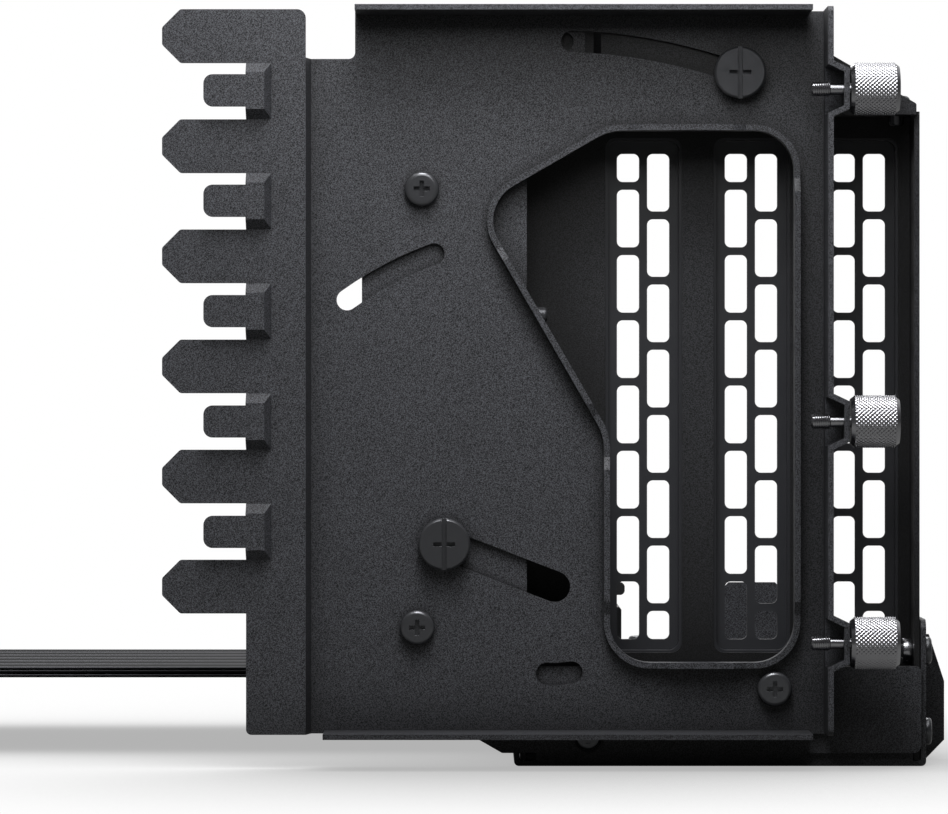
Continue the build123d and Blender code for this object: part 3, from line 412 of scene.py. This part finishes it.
def lacquered_board():
    """Black solder lacquer: glossy, with the glass weave telling through as a faint ripple."""
    material, tree = new_material("lacquered_board")
    place = add(tree, "ShaderNodeTexCoord").outputs["Object"]
    weave_scale = 1 / (wave_radians * weave_band * MM) * half_turn
    weave = [
        add(tree, "ShaderNodeTexWave", {"bands_direction": way},
            {"Vector": place, "Scale": weave_scale, "Distortion": 0.4})
        for way in ("X", "Y")
    ]
    height = add(tree, "ShaderNodeMath", {"operation": "ADD"},
                 {0: weave[0].outputs["Fac"], 1: weave[1].outputs["Fac"]})
    ripple = add(tree, "ShaderNodeBump", None,
                 {"Height": height.outputs[0], "Strength": 0.2, "Distance": 0.01 * MM})
    finish_surface(tree, {
        "Base Color": linear("#121416"), "Roughness": 0.28, "IOR": 1.5,
        "Normal": ripple.outputs["Normal"],
    })
    return material


def ribbon_jacket():
    """Flat cable: ribs run along it, and the seams between its strips carry a painted highlight where
    they face up.
    """
    material, tree = new_material("ribbon_jacket")
    place = add(tree, "ShaderNodeTexCoord").outputs["Object"]
    across = add(tree, "ShaderNodeSeparateXYZ", None, {"Vector": place}).outputs["Y"]
    turns = add(tree, "ShaderNodeMath", {"operation": "MULTIPLY"},
                {0: across, 1: 2 * math.pi / (conductor_pitch * MM)})
    rib = add(tree, "ShaderNodeMath", {"operation": "SINE"}, {0: turns.outputs[0]})
    crest = add(tree, "ShaderNodeMapRange", None, {"Value": rib.outputs[0], "From Min": -1.0})
    jacket = add(tree, "ShaderNodeMix", {"data_type": "RGBA"},
                 {0: crest.outputs["Result"], 6: linear("#08090A"), 7: linear("#141517")})
    strips = add(tree, "ShaderNodeMapRange", {"clamp": False}, {
        "Value": across, "From Min": ribbon_front * MM, "From Max": (ribbon_front + strip_width) * MM,
    })
    from_seam = add(tree, "ShaderNodeMath", {"operation": "PINGPONG"},
                    {0: strips.outputs["Result"], 1: 0.5})
    seam = add(tree, "ShaderNodeMapRange", None, {
        "Value": from_seam.outputs[0], "From Min": seam_span[0], "From Max": seam_span[1],
        "To Min": 1.0, "To Max": 0.0,
    })
    # Painted highlight: the seams are paler only where they face upwards, as if lit from above.
    facing = add(tree, "ShaderNodeSeparateXYZ", None,
                 {"Vector": add(tree, "ShaderNodeNewGeometry").outputs["Normal"]})
    seam_highlight = add(tree, "ShaderNodeMath", {"operation": "MULTIPLY", "use_clamp": True},
                  {0: seam.outputs["Result"], 1: facing.outputs["Z"]})
    colour = add(tree, "ShaderNodeMix", {"data_type": "RGBA"},
                 {0: seam_highlight.outputs[0], 6: jacket.outputs[2], 7: linear("#58585C")})
    ribs = add(tree, "ShaderNodeBump", None,
               {"Height": rib.outputs[0], "Strength": 0.5, "Distance": 0.06 * MM})
    finish_surface(tree, {
        "Base Color": colour.outputs[2], "Roughness": 0.7, "Specular IOR Level": 0.08,
        "Normal": ribs.outputs["Normal"],
    })
    return material


finishes = {
    "powder_steel": powder, "black_steel": black_zinc, "nickel_steel": nickel,
    "brass": turned_brass, "contact_metal": gold_flash, "black_plastic": moulded_nylon(),
    "circuit_board": lacquered_board(), "ribbon_film": ribbon_jacket(),
}
print("finishes", len(finishes))

# %% [markdown]
# Every piece of the frame takes the finish that the record gives it, apart from the slot frame and
# the covers. The slot frame takes the darker copy of the coat, which is painted shade, and the
# covers'
# satin black differs from the front plate's. Real sheet metal has no sharp edge:
# shearing, deburring and the coat itself round it to two or three tenths of a millimetre, and that
# thin round is what draws the light lines along the slots and flanges. A weld joins the corners
# that the imported mesh keeps apart, and a bevel then rounds every edge that turns sharply. On the
# ribbon only the steepest edges are rounded.

# %% Finishes on the imported pieces
# The slot frame's darker coat is painted shade.
own_finish = {"slot_frame": shaded_frame_powder, "slot_cover_1": cover_paint,
              "slot_cover_2": cover_paint, "slot_cover_3": cover_paint}
edge_round = {"powder_steel": 0.28, "black_steel": 0.14, "nickel_steel": 0.08,
              "black_plastic": 0.1, "circuit_board": 0.05, "ribbon_film": 0.2}
sharp_turn = 32
ribbon_sharp_turn = 60
weld_reach = 0.002


def round_edges(piece, width, sharper_than):
    """Rounds by that many millimetres the edges that turn by more than an angle in degrees."""
    weld = piece.modifiers.new("weld", "WELD")
    weld.merge_threshold = weld_reach * MM
    bevel = piece.modifiers.new("round", "BEVEL")
    bevel.limit_method = "ANGLE"
    bevel.angle_limit = math.radians(sharper_than)
    bevel.width = width * MM
    bevel.segments = 2
    bevel.harden_normals = True


for row in frame["record"]["subparts"]:
    piece = frame["nodes"][row["node"]]
    slot_name = row["material_slot"]
    piece.data.materials.clear()
    piece.data.materials.append(own_finish.get(row["node"], finishes[slot_name]))
    if slot_name in edge_round:
        turn = ribbon_sharp_turn if slot_name == "ribbon_film" else sharp_turn
        round_edges(piece, edge_round[slot_name], turn)

# %% [markdown]
# A thumbscrew is turned from bar on a lathe, and its grip is pressed in by two crossed knurling
# wheels, which leave rows of small pyramids. That pattern is two families of helical grooves, so it
# can be made as one surface of revolution whose radius dips along both. The thread is a single
# helix on the same surface. Real geometry is worth it here, because the knurl breaks the outline.

# %% Thumbscrews
knurl_pitch = 0.82
knurl_count = 42
knurl_depth = 0.16
knurl_steps = 8
thread_pitch = 0.4
thread_depth = 0.14
thread_steps = 6
screw_segments = knurl_count * knurl_steps
turned_sharp_turn = 38


def tooth(turn):
    """A triangle wave: one at whole numbers, zero halfway between them."""
    return abs(2 * (turn - math.floor(turn)) - 1)


def spaced(start, end, step):
    """Even places from start to end, about a step apart."""
    count = max(1, round((end - start) / step))
    return [start + (end - start) * i / count for i in range(count + 1)]


def turned_piece(name, rings, height, depth):
    """A closed turned piece along X. Each ring is its place and its radius at each angle."""
    mesh = bmesh.new()
    loops = []
    for x, radius in rings:
        loop = []
        for i in range(screw_segments):
            angle = 2 * math.pi * i / screw_segments
            r = radius(x, angle)
            loop.append(mesh.verts.new((x * MM, depth + r * math.cos(angle) * MM,
                                        height + r * math.sin(angle) * MM)))
        loops.append(loop)
    for near, far in zip(loops, loops[1:]):
        for i in range(screw_segments):
            j = (i + 1) % screw_segments
            mesh.faces.new((near[i], near[j], far[j], far[i]))
    for loop, x in ((loops[0], rings[0][0]), (loops[-1], rings[-1][0])):
        centre = mesh.verts.new((x * MM, depth, height))
        for i in range(screw_segments):
            mesh.faces.new((loop[i], loop[(i + 1) % screw_segments], centre))
    bmesh.ops.recalc_face_normals(mesh, faces=mesh.faces)
    data = bpy.data.meshes.new(name)
    mesh.to_mesh(data)
    mesh.free()
    data.materials.append(nickel)
    for face in data.polygons:
        face.use_smooth = True
    data.set_sharp_from_angle(angle=math.radians(turned_sharp_turn))
    piece = bpy.data.objects.new(name, data)
    bpy.context.scene.collection.objects.link(piece)
    return piece


knob_r = 4.85
neck_r = 1.05
thread_r = 1.4
knob_chamfer = 0.7
knob_length = 8.94
neck_length = 3.65
thread_length = 3.5
tip_drop = 0.35
tip_length = 0.25
thread_run_out = 0.2


def plain(radius):
    """The same radius all round."""
    return lambda x, angle: radius


def knurled(x, angle):
    """The knob's radius, which dips along two crossed families of helical grooves."""
    along, around = x / knurl_pitch, knurl_count * angle / (2 * math.pi)
    return knob_r - knurl_depth * (1 - min(tooth(along + around), tooth(along - around)))


def threaded(x, angle):
    """The thread's radius, which dips along one helix."""
    return thread_r - thread_depth * (1 - tooth(x / thread_pitch - angle / (2 * math.pi)))


def thumbscrew_rings(right):
    """The rings from the tip of the thread to the face of the knob."""
    knob_left = right - knob_length
    thread_right = knob_left - neck_length
    tip = thread_right - thread_length
    knob = spaced(knob_left + knob_chamfer, right - knob_chamfer, knurl_pitch / knurl_steps)
    thread = spaced(tip + tip_length, thread_right - thread_run_out, thread_pitch / thread_steps)
    knob_end, knob_root = plain(knob_r - knob_chamfer), plain(knob_r - knurl_depth)
    return [
        (tip, plain(thread_r - tip_drop)), *[(x, threaded) for x in thread],
        (thread_right, plain(neck_r)), (knob_left, plain(neck_r)),
        (knob_left, knob_end), (knob_left + knob_chamfer, knob_root),
        *[(x, knurled) for x in knob],
        (right - knob_chamfer, knob_root), (right, knob_end),
    ]


for place in ("top", "middle", "bottom"):
    node = f"thumbscrew_{place}"
    low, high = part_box(node)
    centre = (low + high) / 2
    screw = turned_piece(f"knurled_screw_{place}", thumbscrew_rings(high.x / MM), centre.z, centre.y)
    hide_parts(node)
    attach(screw, f"{place}_thumbscrew")
print("thumbscrew faces", len(screw.data.polygons))

# %% Size
low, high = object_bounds()
print("visual size in mm", [round(c / MM, 2) for c in high - low])
